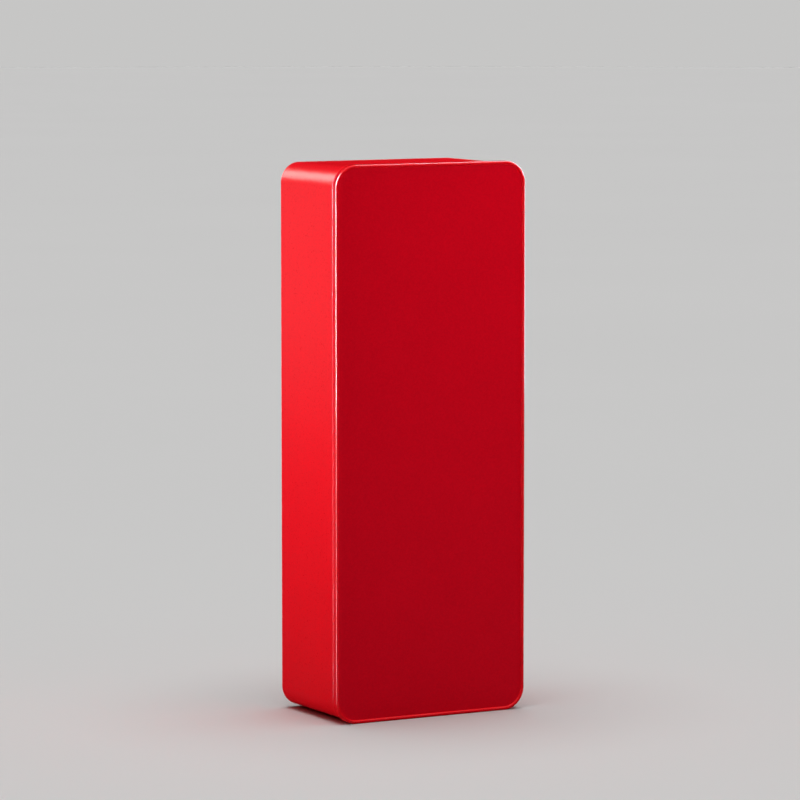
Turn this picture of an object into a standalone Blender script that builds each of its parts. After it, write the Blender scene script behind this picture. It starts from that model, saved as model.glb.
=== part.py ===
"""A tall slim tin with a telescoping slip lid, standing on one short end with its lid facing -Y.

Four sheet-steel pieces: the lid is a skirt strip with a flat panel double-seamed onto its front
edge, and the base inside it is a wall strip with a flat panel double-seamed onto its rear edge.
The lid slides off along -Y.
"""

import math

import bmesh
import bpy

# Overall shape of the lid, which covers the base to its full depth.
LID_WIDTH = 0.0745
LID_HEIGHT = 0.195
LID_DEPTH = 0.0434
CORNER_RADIUS = 0.0072
CORNER_STEPS = 6

# Sheet steel, and the play left between two layers pressed together in a fold.
SHEET = 0.0002
FOLD_GAP = 0.00005
LAYER = SHEET + FOLD_GAP

# Double seam: the height of its bead, the depth of the panel behind its crest, the bends.
SEAM_HEIGHT = 0.003
PANEL_RECESS = 0.0006
CREST_OUTER_BEND = 0.00045
CREST_INNER_BEND = 0.0003
PANEL_BEND = 0.0002
BEND_STEPS = 4
SEAM_PROUD = 3 * LAYER

# Lid rear edge, turned inwards and flattened into a hem.
HEM_HEIGHT = 0.003
HEM_BEND = 0.00015

# Base, inside the lid: its wall is set in so that its seam and mouth curl clear the lid's hem.
BASE_INSET = 0.0015
BASE_PROUD = 0.0008
MOUTH_GAP = 0.0003
CURL_BEND = SEAM_PROUD / 2
CURL_TURN = 1.5 * math.pi
CURL_STEPS = 10

# Welded lap where the two ends of a strip meet, in the middle of the lower short side.
LAP_WIDTH = 0.0024
LAP_END_CLEARANCE = 0.001

# Places of the main planes, with the origin under the middle of the tin.
FRONT_Y = -(LID_DEPTH + BASE_PROUD) / 2
REAR_Y = (LID_DEPTH + BASE_PROUD) / 2
MIDDLE_Z = SEAM_PROUD + LID_HEIGHT / 2
MOUTH_Y = FRONT_Y + PANEL_RECESS + SHEET + MOUTH_GAP

# Colour as linear RGB, roughness, metallic.
LACQUERS = {
    "lid_panel_lacquer": ((0.42, 0.004, 0.012), 0.34, 0.0),
    "lid_skirt_lacquer": ((0.55, 0.006, 0.010), 0.22, 0.0),
    "base_wall_lacquer": ((0.38, 0.004, 0.009), 0.30, 0.0),
    "base_panel_lacquer": ((0.38, 0.004, 0.009), 0.34, 0.0),
}


def clear_scene():
    for obj in list(bpy.data.objects):
        bpy.data.objects.remove(obj, do_unlink=True)


def new_collection(name, is_cutter=False):
    collection = bpy.data.collections.new(name)
    collection.hide_render = is_cutter
    bpy.context.scene.collection.children.link(collection)
    return collection


def lacquer(name):
    colour, roughness, metallic = LACQUERS[name]
    material = bpy.data.materials.new(name)
    material.use_nodes = True
    material.diffuse_color = (*colour, 1.0)
    shader = material.node_tree.nodes["Principled BSDF"]
    shader.inputs["Base Color"].default_value = (*colour, 1.0)
    shader.inputs["Roughness"].default_value = roughness
    shader.inputs["Metallic"].default_value = metallic
    return material


def bend(centre, radius, start, end, steps=BEND_STEPS):
    """Points of an arc in (offset, depth), from the angle start to the angle end."""
    points = []
    for step in range(steps + 1):
        angle = start + (end - start) * step / steps
        offset = centre[0] + radius * math.cos(angle)
        depth = centre[1] + radius * math.sin(angle)
        points.append((offset, depth))
    return points


def outline(offset):
    """(x, z) of the rounded rectangle that lies this far outside the lid's skirt."""
    radius = CORNER_RADIUS + offset
    across = LID_WIDTH / 2 - CORNER_RADIUS
    up = LID_HEIGHT / 2 - CORNER_RADIUS
    points = []
    for quarter, (side, level) in enumerate([(1, 1), (-1, 1), (-1, -1), (1, -1)]):
        for step in range(CORNER_STEPS + 1):
            angle = math.pi / 2 * (quarter + step / CORNER_STEPS)
            x = side * across + radius * math.cos(angle)
            z = MIDDLE_Z + level * up + radius * math.sin(angle)
            points.append((x, z))
    return points


def wall_hook():
    """The strip's edge in a double seam, from the tip of its hook over to the wall.

    Offsets are from the wall's outer face, and depths are from the seam's crest.
    """
    turn = LAYER
    centre = (turn - SHEET / 2, SHEET / 2 + LAYER + turn)
    tip = (centre[0] + turn, SEAM_HEIGHT - SHEET - 2 * FOLD_GAP - turn / 2)
    return [tip] + bend(centre, turn, 0, -math.pi, 2 * BEND_STEPS)


def panel_hook():
    """The end panel's edge in a double seam, from the tip of its hook to the flat panel."""
    turn = LAYER
    hook = LAYER - SHEET / 2
    outer = hook + 2 * LAYER
    inner = hook - 2 * LAYER
    crest = SHEET / 2
    flat = PANEL_RECESS + SHEET / 2
    low = SEAM_HEIGHT - SHEET / 2
    path = [(hook, 3 * LAYER)]
    path += bend((hook + turn, low - turn), turn, math.pi, 0, 2 * BEND_STEPS)
    path += bend(
        (outer - CREST_OUTER_BEND, crest + CREST_OUTER_BEND), CREST_OUTER_BEND, 0, -math.pi / 2
    )
    path += bend(
        (inner + CREST_INNER_BEND, crest + CREST_INNER_BEND),
        CREST_INNER_BEND,
        -math.pi / 2,
        -math.pi,
    )
    path += bend((inner - PANEL_BEND, flat - PANEL_BEND), PANEL_BEND, 0, math.pi / 2)
    return path


def skirt_hem():
    """The skirt's rear edge, from the wall round the hem to its raw edge."""
    centre = (-SHEET / 2 - HEM_BEND, LID_DEPTH - SHEET / 2 - HEM_BEND)
    raw_edge = (centre[0] - HEM_BEND, LID_DEPTH - HEM_HEIGHT)
    return bend(centre, HEM_BEND, 0, math.pi) + [raw_edge]


def mouth_curl(wall_depth):
    """The base wall's front edge, curled outwards, ending wall_depth from the rear crest."""
    centre = (-SHEET / 2 + CURL_BEND, wall_depth - SHEET / 2 - CURL_BEND)
    return bend(centre, CURL_BEND, math.pi, math.pi - CURL_TURN, CURL_STEPS)


def formed_sheet(name, path, inset, crest_y, inwards, is_panel, collection):
    """One sheet-steel piece: the path swept round the tin, and given the sheet's thickness.

    inwards is 1 for a seam at the front, whose depths run along +Y, and -1 at the rear.
    """
    mesh = bpy.data.meshes.new(name)
    sheet = bmesh.new()
    rings = []
    for offset, depth in path:
        y = crest_y + inwards * depth
        rings.append([sheet.verts.new((x, y, z)) for x, z in outline(offset - inset)])
    for ring, following in zip(rings, rings[1:]):
        for here in range(len(ring)):
            beside = (here + 1) % len(ring)
            sheet.faces.new((ring[here], ring[beside], following[beside], following[here]))
    if is_panel:
        sheet.faces.new(rings[-1])
    bmesh.ops.recalc_face_normals(sheet, faces=sheet.faces)
    sheet.to_mesh(mesh)
    sheet.free()
    mesh.materials.append(lacquer(name + "_lacquer"))
    piece = bpy.data.objects.new(name, mesh)
    collection.objects.link(piece)
    thicken = piece.modifiers.new("sheet thickness", "SOLIDIFY")
    thicken.thickness = SHEET
    thicken.offset = 0.0
    thicken.use_even_offset = True
    return piece


def add_lap(strip, inset, front, rear, helpers):
    """The strip's overlapping end, welded inside the middle of its lower short side."""
    outer_z = SEAM_PROUD + inset
    low = outer_z + SHEET / 2
    high = outer_z + 2 * SHEET
    bpy.ops.mesh.primitive_cube_add(size=1.0)
    lap = bpy.context.active_object
    lap.name = strip.name + "_lap"
    lap.data.transform(
        ((LAP_WIDTH, 0, 0, 0), (0, rear - front, 0, 0), (0, 0, high - low, 0), (0, 0, 0, 1))
    )
    lap.location = (0, (front + rear) / 2, (low + high) / 2)
    for owner in list(lap.users_collection):
        owner.objects.unlink(lap)
    helpers.objects.link(lap)
    lap.hide_render = True
    lap.display_type = "WIRE"
    weld = strip.modifiers.new("welded lap", "BOOLEAN")
    weld.operation = "UNION"
    weld.solver = "EXACT"
    weld.object = lap


def build_tin():
    clear_scene()
    tin = new_collection("slip_lid_tin")
    helpers = new_collection("slip_lid_tin_helpers", is_cutter=True)

    formed_sheet("lid_panel", panel_hook(), 0.0, FRONT_Y, 1, True, tin)
    lid_skirt = formed_sheet(
        "lid_skirt", wall_hook() + skirt_hem(), 0.0, FRONT_Y, 1, False, tin
    )
    add_lap(
        lid_skirt,
        0.0,
        FRONT_Y + SEAM_HEIGHT + LAP_END_CLEARANCE,
        FRONT_Y + LID_DEPTH - HEM_HEIGHT - LAP_END_CLEARANCE,
        helpers,
    )

    formed_sheet("base_panel", panel_hook(), BASE_INSET, REAR_Y, -1, True, tin)
    wall_path = wall_hook() + mouth_curl(REAR_Y - MOUTH_Y)
    base_wall = formed_sheet("base_wall", wall_path, BASE_INSET, REAR_Y, -1, False, tin)
    add_lap(
        base_wall,
        BASE_INSET,
        MOUTH_Y + 2 * CURL_BEND + LAP_END_CLEARANCE,
        REAR_Y - SEAM_HEIGHT - LAP_END_CLEARANCE,
        helpers,
    )


build_tin()
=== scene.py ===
"""Studio scene of the red slip-lid tin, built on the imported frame."""

import math

import bmesh
import bpy
from mathutils import Matrix, Vector


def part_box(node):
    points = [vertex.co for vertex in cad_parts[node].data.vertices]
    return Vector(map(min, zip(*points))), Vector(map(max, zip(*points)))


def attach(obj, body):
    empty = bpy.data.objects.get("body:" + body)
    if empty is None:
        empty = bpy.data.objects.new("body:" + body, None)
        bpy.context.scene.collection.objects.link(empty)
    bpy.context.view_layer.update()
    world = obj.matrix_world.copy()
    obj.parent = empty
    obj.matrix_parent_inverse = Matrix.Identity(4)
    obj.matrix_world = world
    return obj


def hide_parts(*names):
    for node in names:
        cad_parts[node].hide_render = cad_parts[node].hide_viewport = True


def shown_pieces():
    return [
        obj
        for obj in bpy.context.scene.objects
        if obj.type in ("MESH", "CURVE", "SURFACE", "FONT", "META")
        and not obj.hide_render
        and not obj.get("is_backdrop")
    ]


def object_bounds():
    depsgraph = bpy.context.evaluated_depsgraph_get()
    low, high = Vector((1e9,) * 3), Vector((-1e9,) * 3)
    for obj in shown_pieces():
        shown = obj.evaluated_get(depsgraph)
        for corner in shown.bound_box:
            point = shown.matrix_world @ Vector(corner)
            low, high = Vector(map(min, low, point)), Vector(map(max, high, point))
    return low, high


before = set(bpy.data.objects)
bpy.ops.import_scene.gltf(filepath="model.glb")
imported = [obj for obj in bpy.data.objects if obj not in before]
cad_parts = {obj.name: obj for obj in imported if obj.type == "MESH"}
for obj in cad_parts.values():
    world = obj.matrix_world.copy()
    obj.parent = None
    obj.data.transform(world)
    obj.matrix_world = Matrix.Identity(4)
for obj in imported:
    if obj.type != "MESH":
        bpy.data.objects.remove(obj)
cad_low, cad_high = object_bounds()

# Sheet steel and its folds, in metres, as on the CAD pieces.
SHEET = 0.0002
FOLD_GAP = 0.00005
LAYER = SHEET + FOLD_GAP
SEAM_HEIGHT = 0.003
SEAM_PROUD = 3 * LAYER
PANEL_RECESS = 0.0006
CREST_OUTER_BEND = 0.00045
CREST_INNER_BEND = 0.0003
PANEL_BEND = 0.0002
HEM_HEIGHT = 0.003
HEM_BEND = 0.00015
CURL_BEND = SEAM_PROUD / 2
CURL_TURN = 1.5 * math.pi
CORNER_RADIUS = 0.0072

# The strips' overlapping ends, welded inside.
LAP_WIDTH = 0.0024
LAP_END_CLEARANCE = 0.001
LAP_BEVEL = 0.00008
LAP_BEVEL_STEPS = 3

# How finely the visible pieces are made, and the angle from which an edge is drawn sharp.
CORNER_STEPS = 28
BEND_STEPS = 8
CURL_STEPS = 20
SHARP_ANGLE = math.radians(40)

# The places of a sheet's materials.
PRINTED, BARE, EDGE, SEAM = range(4)

# Places read from the frame.
LID_LOW, LID_HIGH = (Vector(corner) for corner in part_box("lid_panel"))
BASE_HIGH = Vector(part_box("base_panel")[1])
SKIRT_HIGH = Vector(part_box("lid_skirt")[1])
WALL_LOW = Vector(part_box("base_wall")[0])
LID_WIDTH = LID_HIGH.x - LID_LOW.x - 2 * SEAM_PROUD
LID_HEIGHT = LID_HIGH.z - LID_LOW.z - 2 * SEAM_PROUD
MIDDLE_Z = (LID_LOW.z + LID_HIGH.z) / 2
FRONT_Y = LID_LOW.y
REAR_Y = BASE_HIGH.y
LID_DEPTH = SKIRT_HIGH.y - FRONT_Y
MOUTH_Y = WALL_LOW.y
BASE_INSET = LID_HIGH.x - BASE_HIGH.x
TIN_HEIGHT = max(cad_high - cad_low)

# The studio's reach and the camera's place, in tin heights and degrees, and the lens in
# millimetres. The camera looks past the middle of the lid's front to leave the photo's margins.
FLOOR_REACH = 200
BACKDROP_REACH = 40
CAMERA_AZIMUTH = -28.8
CAMERA_ELEVATION = 5.9
CAMERA_DISTANCE = 8.0916
AIM_TO_THE_RIGHT = -0.057
AIM_UPWARDS = 0.0748
LENS = 203.0
SENSOR_WIDTH = 36.0

# Colours of the lamps.
WARM = (1.0, 0.97, 0.92)
NEUTRAL = (1.0, 0.97, 0.96)
PINK = (1.0, 0.85, 1.0)


# Shapes -----------------------------------------------------------------------------------


def bend(centre, radius, start, end, steps):
    """Points of an arc in (offset, depth), from the angle start to the angle end."""
    points = []
    for step in range(steps + 1):
        angle = start + (end - start) * step / steps
        offset = centre[0] + radius * math.cos(angle)
        depth = centre[1] + radius * math.sin(angle)
        points.append((offset, depth))
    return points


def outline(offset):
    """(x, z) of the rounded rectangle that lies this far outside the lid's skirt."""
    radius = CORNER_RADIUS + offset
    across = LID_WIDTH / 2 - CORNER_RADIUS
    up = LID_HEIGHT / 2 - CORNER_RADIUS
    points = []
    for quarter, (side, level) in enumerate([(1, 1), (-1, 1), (-1, -1), (1, -1)]):
        for step in range(CORNER_STEPS + 1):
            angle = math.pi / 2 * (quarter + step / CORNER_STEPS)
            x = side * across + radius * math.cos(angle)
            z = MIDDLE_Z + level * up + radius * math.sin(angle)
            points.append((x, z))
    return points


def wall_hook():
    """The strip's edge in a double seam, from the tip of its hook over to the wall.

    Offsets are from the wall's outer face, and depths are from the seam's crest.
    """
    centre = (LAYER - SHEET / 2, SHEET / 2 + 2 * LAYER)
    tip = (centre[0] + LAYER, SEAM_HEIGHT - SHEET - 2 * FOLD_GAP - LAYER / 2)
    return [tip] + bend(centre, LAYER, 0, -math.pi, 2 * BEND_STEPS)


def panel_hook():
    """The end panel's edge in a double seam, from the tip of its hook to the flat panel."""
    hook = LAYER - SHEET / 2
    outer = hook + 2 * LAYER
    inner = hook - 2 * LAYER
    crest = SHEET / 2
    flat = PANEL_RECESS + SHEET / 2
    low = SEAM_HEIGHT - SHEET / 2
    path = [(hook, 3 * LAYER)]
    path += bend((hook + LAYER, low - LAYER), LAYER, math.pi, 0, 2 * BEND_STEPS)
    outer_centre = (outer - CREST_OUTER_BEND, crest + CREST_OUTER_BEND)
    path += bend(outer_centre, CREST_OUTER_BEND, 0, -math.pi / 2, BEND_STEPS)
    inner_centre = (inner + CREST_INNER_BEND, crest + CREST_INNER_BEND)
    path += bend(inner_centre, CREST_INNER_BEND, -math.pi / 2, -math.pi, BEND_STEPS)
    path += bend((inner - PANEL_BEND, flat - PANEL_BEND), PANEL_BEND, 0, math.pi / 2, BEND_STEPS)
    return path


def skirt_hem():
    """The skirt's rear edge, from the wall round the hem to its raw edge."""
    centre = (-SHEET / 2 - HEM_BEND, LID_DEPTH - SHEET / 2 - HEM_BEND)
    raw_edge = (centre[0] - HEM_BEND, LID_DEPTH - HEM_HEIGHT)
    return bend(centre, HEM_BEND, 0, math.pi, 2 * BEND_STEPS) + [raw_edge]


def mouth_curl(wall_depth):
    """The base wall's front edge, curled outwards, ending wall_depth from the rear crest."""
    centre = (-SHEET / 2 + CURL_BEND, wall_depth - SHEET / 2 - CURL_BEND)
    return bend(centre, CURL_BEND, math.pi, math.pi - CURL_TURN, CURL_STEPS)


def skins(path, printed_side):
    """The two faces of the sheet along a path: (printed side, bare side)."""
    printed, bare = [], []
    for here in range(len(path)):
        point = Vector(path[here])
        before = point - Vector(path[max(here - 1, 0)])
        after = Vector(path[min(here + 1, len(path) - 1)]) - point
        if before.length == 0:
            before = after
        if after.length == 0:
            after = before
        along = (before.normalized() + after.normalized()).normalized()
        mitre = SHEET / 2 / along.dot(after.normalized())
        side = Vector((-along.y, along.x)) * mitre * printed_side
        printed.append(point + side)
        bare.append(point - side)
    return printed, bare


def add_lap(sheet, inset, front, rear):
    """The strip's overlapping end, welded inside the middle of its lower short side."""
    outer_z = LID_LOW.z + SEAM_PROUD + inset
    low = outer_z + SHEET / 2
    high = outer_z + 2 * SHEET
    place = Matrix.Translation((0, (front + rear) / 2, (low + high) / 2))
    size = Matrix.Diagonal((LAP_WIDTH, rear - front, high - low, 1.0))
    lap = bmesh.ops.create_cube(sheet, size=1.0, matrix=place @ size)
    lap_corners = set(lap["verts"])
    bevel = bmesh.ops.bevel(
        sheet,
        geom=[edge for edge in sheet.edges if edge.verts[0] in lap_corners],
        offset=LAP_BEVEL,
        segments=LAP_BEVEL_STEPS,
        profile=0.5,
        affect="EDGES",
    )
    for face in {face for corner in bevel["verts"] for face in corner.link_faces}:
        face.material_index = BARE


def band_material(low, count, is_panel):
    """The material of the faces between ring low and the next, count rings being on each side."""
    if low in (count - 1, 2 * count - 1):
        return EDGE
    if low >= count:
        return BARE
    return SEAM if is_panel else PRINTED


def formed_sheet(name, path, materials, inset, crest_y, inwards, is_panel, lap=None):
    """One sheet piece with its thickness: the path swept round the tin, and a panel's flat.

    inset is how far the skirt or wall lies inside the lid's outline. inwards is 1 for a seam at
    the front, whose depths run along +Y, and -1 at the rear.
    """
    printed, bare = skins(path, 1 if is_panel else -1)
    sheet = bmesh.new()
    rings = []
    for offset, depth in [*printed, *reversed(bare)]:
        y = crest_y + inwards * depth
        rings.append([sheet.verts.new((x, y, z)) for x, z in outline(offset - inset)])
    count = len(path)
    for low, ring in enumerate(rings):
        if is_panel and low == count - 1:
            continue
        following = rings[(low + 1) % len(rings)]
        for here in range(len(ring)):
            beside = (here + 1) % len(ring)
            corners = (ring[here], ring[beside], following[beside], following[here])
            face = sheet.faces.new(corners)
            face.material_index = band_material(low, count, is_panel)
    if is_panel:
        for side, ring in ((PRINTED, rings[count - 1]), (BARE, rings[count])):
            face = sheet.faces.new(ring)
            face.material_index = side
    if lap is not None:
        add_lap(sheet, inset, *lap)
    bmesh.ops.recalc_face_normals(sheet, faces=sheet.faces)
    return finished_piece(name, sheet, materials)


def finished_piece(name, sheet, materials):
    """The object made of a sheet, with its materials and with flat faces shaded flat."""
    mesh = bpy.data.meshes.new(name)
    sheet.to_mesh(mesh)
    sheet.free()
    for polygon in mesh.polygons:
        polygon.use_smooth = True
    mesh.set_sharp_from_angle(angle=SHARP_ANGLE)
    for material in materials:
        mesh.materials.append(material)
    piece = bpy.data.objects.new(name, mesh)
    bpy.context.scene.collection.objects.link(piece)
    normals = piece.modifiers.new("flat faces stay flat", "WEIGHTED_NORMAL")
    normals.keep_sharp = True
    normals.weight = 100
    return piece


# Materials --------------------------------------------------------------------------------


class Nodes:
    """A small helper that adds nodes to a material and links them."""

    def __init__(self, name):
        self.material = bpy.data.materials.new(name)
        self.material.use_nodes = True
        self.tree = self.material.node_tree
        self.shader = self.tree.nodes["Principled BSDF"]

    def add(self, kind, **settings):
        node = self.tree.nodes.new(kind)
        for key, value in settings.items():
            setattr(node, key, value)
        return node

    def link(self, source, target):
        self.tree.links.new(source, target)

    def position(self, scale=(1, 1, 1)):
        """The place on the object, in metres, stretched by scale."""
        coordinates = self.add("ShaderNodeTexCoord")
        mapping = self.add("ShaderNodeMapping")
        mapping.inputs["Scale"].default_value = scale
        self.link(coordinates.outputs["Object"], mapping.inputs["Vector"])
        return mapping.outputs["Vector"]

    def noise(self, position, scale, detail, roughness=0.5):
        noise = self.add("ShaderNodeTexNoise")
        noise.inputs["Scale"].default_value = scale
        noise.inputs["Detail"].default_value = detail
        noise.inputs["Roughness"].default_value = roughness
        self.link(position, noise.inputs["Vector"])
        return noise.outputs["Fac"]

    def remap(self, noise, low, high):
        """Nearly all of a noise's values lie between 0.3 and 0.7. They are spread to low and high."""
        node = self.add("ShaderNodeMapRange")
        node.inputs["From Min"].default_value = 0.3
        node.inputs["From Max"].default_value = 0.7
        node.inputs["To Min"].default_value = low
        node.inputs["To Max"].default_value = high
        self.link(noise, node.inputs["Value"])
        return node.outputs["Result"]

    def mix(self, factor, low, high):
        node = self.add("ShaderNodeMix", data_type="RGBA")
        node.inputs["A"].default_value = (*low, 1.0)
        node.inputs["B"].default_value = (*high, 1.0)
        self.link(factor, node.inputs["Factor"])
        return node.outputs["Result"]

    def bump(self, height, distance, normal=None):
        """A normal for a relief that is this many metres deep."""
        node = self.add("ShaderNodeBump")
        node.inputs["Strength"].default_value = 1.0
        node.inputs["Distance"].default_value = distance
        self.link(height, node.inputs["Height"])
        if normal is not None:
            self.link(normal, node.inputs["Normal"])
        return node.outputs["Normal"]


def lacquer(name, colour, roughness, specular, tint, grain, waves=0.00004, coat=0.0):
    """Red printed lacquer: nearly even colour, faint cloudiness, fine grain, slight waviness.

    grain and waves are the depths of its relief, in metres.
    """
    nodes = Nodes(name)
    even = nodes.position()
    clouds = nodes.noise(even, scale=40.0, detail=4.0)
    speckle = nodes.noise(even, scale=1700.0, detail=2.0, roughness=0.6)
    darker = tuple(0.95 * value for value in colour)
    lighter = tuple(min(1.0, 1.04 * value) for value in colour)
    cloudy = nodes.mix(clouds, darker, lighter)
    shade = nodes.remap(speckle, low=0.93, high=1.07)
    grainy = nodes.add("ShaderNodeVectorMath", operation="SCALE")
    nodes.link(cloudy, grainy.inputs[0])
    nodes.link(shade, grainy.inputs["Scale"])
    nodes.link(grainy.outputs["Vector"], nodes.shader.inputs["Base Color"])
    spread = nodes.remap(speckle, low=0.85 * roughness, high=1.15 * roughness)
    nodes.link(spread, nodes.shader.inputs["Roughness"])
    wavy = nodes.bump(nodes.noise(even, scale=25.0, detail=1.0), waves)
    fine = nodes.bump(speckle, grain, wavy)
    nodes.link(fine, nodes.shader.inputs["Normal"])
    nodes.shader.inputs["Specular IOR Level"].default_value = specular
    nodes.shader.inputs["Specular Tint"].default_value = (*tint, 1.0)
    nodes.shader.inputs["Coat Weight"].default_value = coat
    nodes.shader.inputs["Coat Roughness"].default_value = 0.12
    nodes.shader.inputs["Coat IOR"].default_value = 2.3
    return nodes.material


def panel_red():
    """The lid panel's flat face."""
    return lacquer(
        "panel_red",
        colour=(0.62, 0.0005, 0.008),
        roughness=0.36,
        specular=0.6,
        tint=(1.0, 0.05, 0.2),
        grain=0.000010,
    )


def seam_red_painted_lighter():
    """The lid panel's edge, where the folds are glossy. Its red is painted lighter than the panel's
    same lacquer, as painted light on the seam.
    """
    return lacquer(
        "seam_red_painted_lighter",
        # Painted light: a lighter red than panel_red's, which brightens the seam faces.
        colour=(0.86, 0.0005, 0.008),
        roughness=0.34,
        specular=0.0,
        tint=(1.0, 0.8, 0.9),
        grain=0.0000006,
        waves=0.000001,
        coat=1.0,
    )


def skirt_red():
    """The lid skirt's outside."""
    return lacquer(
        "skirt_red",
        colour=(0.75, 0.0008, 0.0085),
        roughness=0.32,
        specular=0.3,
        tint=(1.0, 0.4, 0.42),
        grain=0.000003,
    )


def base_red():
    """The outside of the base."""
    return lacquer(
        "base_red",
        colour=(0.68, 0.0008, 0.0085),
        roughness=0.30,
        specular=0.4,
        tint=(1.0, 0.5, 0.5),
        grain=0.000001,
        waves=0.00003,
    )


def bare_tinplate():
    """Bare tin-plated steel: bright, with a fine rolling grain and soft blotches."""
    nodes = Nodes("bare_tinplate")
    rolled = nodes.position(scale=(12, 12, 1))
    grain = nodes.noise(rolled, scale=260.0, detail=2.0)
    blotches = nodes.noise(nodes.position(), scale=60.0, detail=3.0)
    colour = nodes.mix(blotches, low=(0.60, 0.59, 0.56), high=(0.70, 0.69, 0.66))
    nodes.link(colour, nodes.shader.inputs["Base Color"])
    nodes.shader.inputs["Metallic"].default_value = 0.45
    nodes.link(nodes.remap(grain, low=0.28, high=0.36), nodes.shader.inputs["Roughness"])
    nodes.link(nodes.bump(grain, distance=0.0000005), nodes.shader.inputs["Normal"])
    return nodes.material


def cut_steel_edge():
    """Cut edge of the sheet: dull steel grey."""
    nodes = Nodes("cut_steel_edge")
    scuffs = nodes.noise(nodes.position(), scale=900.0, detail=4.0)
    colour = nodes.mix(scuffs, low=(0.28, 0.27, 0.26), high=(0.45, 0.44, 0.42))
    nodes.link(colour, nodes.shader.inputs["Base Color"])
    nodes.shader.inputs["Metallic"].default_value = 0.45
    nodes.shader.inputs["Roughness"].default_value = 0.5
    return nodes.material


def pale_floor():
    """The floor's matt grey-white."""
    nodes = Nodes("pale_floor")
    mottle = nodes.noise(nodes.position(), scale=3.0, detail=2.0)
    colour = nodes.mix(mottle, low=(0.78, 0.775, 0.77), high=(0.80, 0.795, 0.79))
    nodes.link(colour, nodes.shader.inputs["Base Color"])
    nodes.shader.inputs["Roughness"].default_value = 0.9
    nodes.shader.inputs["Specular IOR Level"].default_value = 0.2
    return nodes.material


def pale_paper():
    """The backdrop's evenly lit paper, as bright as the lit floor."""
    nodes = Nodes("pale_paper")
    mottle = nodes.noise(nodes.position(), scale=0.05, detail=2.0)
    glow = nodes.mix(mottle, low=(0.564, 0.561, 0.556), high=(0.571, 0.568, 0.563))
    nodes.link(glow, nodes.shader.inputs["Emission Color"])
    nodes.shader.inputs["Emission Strength"].default_value = 1.0
    nodes.shader.inputs["Base Color"].default_value = (0.0, 0.0, 0.0, 1.0)
    nodes.shader.inputs["Specular IOR Level"].default_value = 0.0
    return nodes.material


# The tin ----------------------------------------------------------------------------------


def lid_panel(bare, edge):
    """The lid's flat front panel, with its edge formed into the double seam."""
    materials = (panel_red(), bare, edge, seam_red_painted_lighter())
    return formed_sheet(
        "lid_panel_sheet",
        panel_hook(),
        materials,
        inset=0.0,
        crest_y=FRONT_Y,
        inwards=1,
        is_panel=True,
    )


def lid_skirt(bare, edge):
    """The lid's strip, from its hook in the front seam to its hem at the rear."""
    path = wall_hook() + skirt_hem()
    materials = (skirt_red(), bare, edge)
    lap = (
        FRONT_Y + SEAM_HEIGHT + LAP_END_CLEARANCE,
        FRONT_Y + LID_DEPTH - HEM_HEIGHT - LAP_END_CLEARANCE,
    )
    return formed_sheet(
        "lid_skirt_strip",
        path,
        materials,
        inset=0.0,
        crest_y=FRONT_Y,
        inwards=1,
        is_panel=False,
        lap=lap,
    )


def base_panel(red, bare, edge):
    """The base's flat rear panel, with its edge formed into the double seam."""
    materials = (red, bare, edge, red)
    return formed_sheet(
        "base_panel_sheet",
        panel_hook(),
        materials,
        inset=BASE_INSET,
        crest_y=REAR_Y,
        inwards=-1,
        is_panel=True,
    )


def base_wall(red, bare, edge):
    """The base's strip, from its hook in the rear seam to the curl round its mouth."""
    path = wall_hook() + mouth_curl(REAR_Y - MOUTH_Y)
    materials = (red, bare, edge)
    lap = (
        MOUTH_Y + 2 * CURL_BEND + SHEET + LAP_END_CLEARANCE,
        REAR_Y - SEAM_HEIGHT - LAP_END_CLEARANCE,
    )
    return formed_sheet(
        "base_wall_strip",
        path,
        materials,
        inset=BASE_INSET,
        crest_y=REAR_Y,
        inwards=-1,
        is_panel=False,
        lap=lap,
    )


def build_tin():
    red = base_red()
    bare = bare_tinplate()
    edge = cut_steel_edge()
    for piece, body, node in (
        (lid_panel(bare, edge), "lid", "lid_panel"),
        (lid_skirt(bare, edge), "lid", "lid_skirt"),
        (base_panel(red, bare, edge), "base", "base_panel"),
        (base_wall(red, bare, edge), "base", "base_wall"),
    ):
        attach(piece, body)
        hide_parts(node)


# The studio -------------------------------------------------------------------------------


def build_floor():
    bpy.ops.mesh.primitive_plane_add(size=2 * FLOOR_REACH * TIN_HEIGHT)
    floor = bpy.context.active_object
    floor.name = "studio_floor"
    floor.data.materials.append(pale_floor())
    floor.visible_glossy = False
    floor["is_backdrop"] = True


def build_backdrop():
    """A wide pale dome that stands behind the floor and doesn't light the tin."""
    dome = bmesh.new()
    radius = BACKDROP_REACH * TIN_HEIGHT
    bmesh.ops.create_uvsphere(dome, u_segments=48, v_segments=24, radius=radius)
    below = [corner for corner in dome.verts if corner.co.z < -TIN_HEIGHT]
    bmesh.ops.delete(dome, geom=below, context="VERTS")
    mesh = bpy.data.meshes.new("studio_backdrop")
    dome.to_mesh(mesh)
    dome.free()
    mesh.materials.append(pale_paper())
    backdrop = bpy.data.objects.new("studio_backdrop", mesh)
    bpy.context.scene.collection.objects.link(backdrop)
    backdrop.visible_diffuse = False
    backdrop.visible_glossy = False
    backdrop.visible_transmission = False
    backdrop.visible_shadow = False
    backdrop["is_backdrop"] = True


def lit_group(name, pieces):
    """A collection of the pieces that a softbox lights, or that cast its shadows."""
    group = bpy.data.collections.new(name)
    for piece in pieces:
        group.objects.link(piece)
    return group


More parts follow.
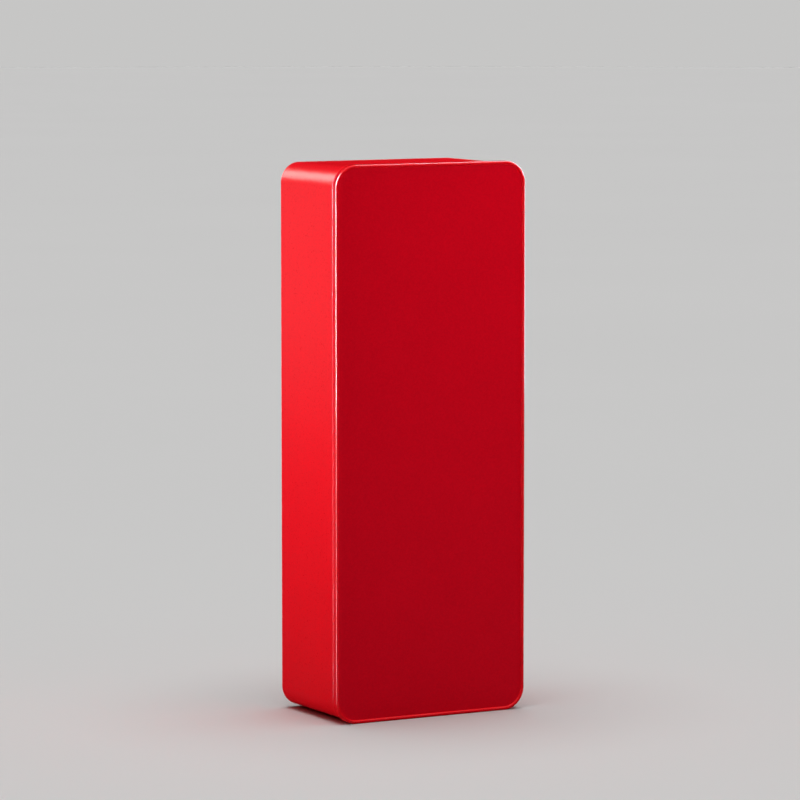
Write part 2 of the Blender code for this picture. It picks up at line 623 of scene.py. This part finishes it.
def softbox(name, lit, colour, power, size, azimuth, height, distance, aim_height, spread=90):
    """A rectangular light that lights one group of pieces.

    Azimuth 0 is in front of the lid, and 90 is on its right. Lengths are in tin heights, and
    the power in watts is for a tin one metre tall.
    """
    light = bpy.data.lights.new(name, "AREA")
    light.shape = "RECTANGLE"
    light.size = size[0] * TIN_HEIGHT
    light.size_y = size[1] * TIN_HEIGHT
    light.energy = power * TIN_HEIGHT**2
    light.color = colour
    light.spread = math.radians(spread)
    lamp = bpy.data.objects.new(name, light)
    bpy.context.scene.collection.objects.link(lamp)
    angle = math.radians(azimuth)
    place = Vector((math.sin(angle) * distance, -math.cos(angle) * distance, height))
    aim = Vector((0, 0, aim_height))
    lamp.location = TIN_HEIGHT * place
    lamp.rotation_mode = "QUATERNION"
    lamp.rotation_quaternion = (aim - place).to_track_quat("-Z", "Y")
    lamp.visible_camera = False
    lamp.light_linking.receiver_collection = lit
    return lamp


def build_fills(tin, walls):
    """The two broad lights, which colour the surfaces and give no reflections."""
    key = softbox(
        "key_left",
        tin,
        NEUTRAL,
        power=5.0,
        size=(0.81, 1.53),
        azimuth=-92,
        height=0.79,
        distance=1.53,
        aim_height=0.92,
        spread=66,
    )
    key.visible_glossy = False
    fill = softbox(
        "fill_top_right",
        tin,
        NEUTRAL,
        power=8.94,
        size=(1.02, 1.02),
        azimuth=42,
        height=2.29,
        distance=1.425,
        aim_height=0.433,
        spread=85,
    )
    fill.visible_glossy = False
    fill.light_linking.blocker_collection = walls


def build_reflections(skirt, walls):
    """The lights seen only in the lacquer: the band over the top corner and the side's sheen."""
    band = softbox(
        "band_light",
        skirt,
        WARM,
        power=15.0,
        size=(0.66, 2.14),
        azimuth=-159,
        height=2.52,
        distance=4.07,
        aim_height=0.97,
    )
    band.visible_diffuse = False
    sheen = softbox(
        "sheen_left",
        walls,
        NEUTRAL,
        power=0.414,
        size=(1.22, 0.81),
        azimuth=-151,
        height=0.66,
        distance=3.05,
        aim_height=0.76,
    )
    sheen.visible_diffuse = False


def edge_light(name, tin, seam, **settings):
    """A softbox that is seen only in the lid panel's lacquer."""
    edge = softbox(name, seam, PINK, **settings)
    edge.visible_diffuse = False
    edge.light_linking.blocker_collection = tin


def build_edge_lights(tin, seam):
    """The lights that draw the thin highlights along the seam round the lid panel.

    They stand behind the panel's plane, so that they don't reach its flat face.
    """
    edge_light(
        "edge_left_high",
        tin,
        seam,
        power=32.4,
        size=(0.255, 2.34),
        azimuth=-104,
        height=1.476,
        distance=1.527,
        aim_height=1.02,
    )
    edge_light(
        "edge_left_tall",
        tin,
        seam,
        power=2.59,
        size=(0.153, 1.63),
        azimuth=-105,
        height=0.56,
        distance=1.53,
        aim_height=0.56,
    )
    edge_light(
        "edge_behind_high",
        tin,
        seam,
        power=11.65,
        size=(0.61, 0.61),
        azimuth=-173,
        height=0.916,
        distance=2.036,
        aim_height=0.916,
    )
    edge_light(
        "edge_behind_tall",
        tin,
        seam,
        power=7.77,
        size=(0.61, 1.32),
        azimuth=-173,
        height=0.356,
        distance=2.036,
        aim_height=0.356,
    )
    edge_light(
        "edge_right",
        tin,
        seam,
        power=14.0,
        size=(0.407, 1.83),
        azimuth=104,
        height=1.272,
        distance=2.036,
        aim_height=0.967,
    )
    edge_light(
        "edge_corner",
        tin,
        seam,
        power=25.9,
        size=(0.61, 2.545),
        azimuth=99,
        height=2.188,
        distance=1.73,
        aim_height=0.967,
        spread=120,
    )


def build_overhead():
    """A very soft light from straight above, which the lacquer doesn't mirror."""
    light = bpy.data.lights.new("overhead", "SUN")
    light.energy = 2.0
    light.angle = math.radians(50)
    lamp = bpy.data.objects.new("overhead", light)
    bpy.context.scene.collection.objects.link(lamp)
    lamp.visible_glossy = False


def build_lights():
    tin = lit_group("all_of_the_tin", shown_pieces())
    walls = lit_group(
        "all_but_the_lid_panel", [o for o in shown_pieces() if o.name != "lid_panel_sheet"]
    )
    skirt = lit_group("the_lid_skirt", [bpy.data.objects["lid_skirt_strip"]])
    seam = lit_group("the_lid_panel", [bpy.data.objects["lid_panel_sheet"]])
    build_fills(tin, walls)
    build_reflections(skirt, walls)
    build_edge_lights(tin, seam)
    build_overhead()


def build_air():
    """Soft light from overhead that fades towards the horizon."""
    world = bpy.data.worlds.new("studio_air")
    world.use_nodes = True
    tree = world.node_tree
    background = tree.nodes["Background"]
    coordinates = tree.nodes.new("ShaderNodeTexCoord")
    split = tree.nodes.new("ShaderNodeSeparateXYZ")
    fade = tree.nodes.new("ShaderNodeMapRange")
    fade.interpolation_type = "SMOOTHSTEP"
    fade.inputs["From Min"].default_value = 0.25
    fade.inputs["From Max"].default_value = 0.9
    fade.inputs["To Min"].default_value = 0.005
    fade.inputs["To Max"].default_value = 0.18
    tree.links.new(coordinates.outputs["Generated"], split.inputs["Vector"])
    tree.links.new(split.outputs["Z"], fade.inputs["Value"])
    tree.links.new(fade.outputs["Result"], background.inputs["Strength"])
    background.inputs["Color"].default_value = (1.0, 1.0, 1.0, 1.0)
    bpy.context.scene.world = world


def build_camera():
    """A long lens at the tin's front left, a little above its top."""
    azimuth = math.radians(CAMERA_AZIMUTH)
    elevation = math.radians(CAMERA_ELEVATION)
    back = Vector(
        (
            math.sin(azimuth) * math.cos(elevation),
            -math.cos(azimuth) * math.cos(elevation),
            math.sin(elevation),
        )
    )
    right = Vector((0, 0, 1)).cross(back).normalized()
    up = back.cross(right)
    aside = AIM_TO_THE_RIGHT * right + AIM_UPWARDS * up
    aim = Vector((0, FRONT_Y, MIDDLE_Z)) + TIN_HEIGHT * aside
    data = bpy.data.cameras.new("camera")
    data.lens = LENS
    data.sensor_width = SENSOR_WIDTH
    data.clip_start = TIN_HEIGHT / 4
    data.clip_end = 2 * FLOOR_REACH * TIN_HEIGHT
    camera = bpy.data.objects.new("camera", data)
    bpy.context.scene.collection.objects.link(camera)
    camera.location = aim + CAMERA_DISTANCE * TIN_HEIGHT * back
    camera.rotation_mode = "QUATERNION"
    camera.rotation_quaternion = (-back).to_track_quat("-Z", "Y")
    bpy.context.scene.camera = camera


build_tin()
build_floor()
build_backdrop()
build_lights()
build_air()
build_camera()
bpy.context.scene.view_settings.view_transform = "Standard"
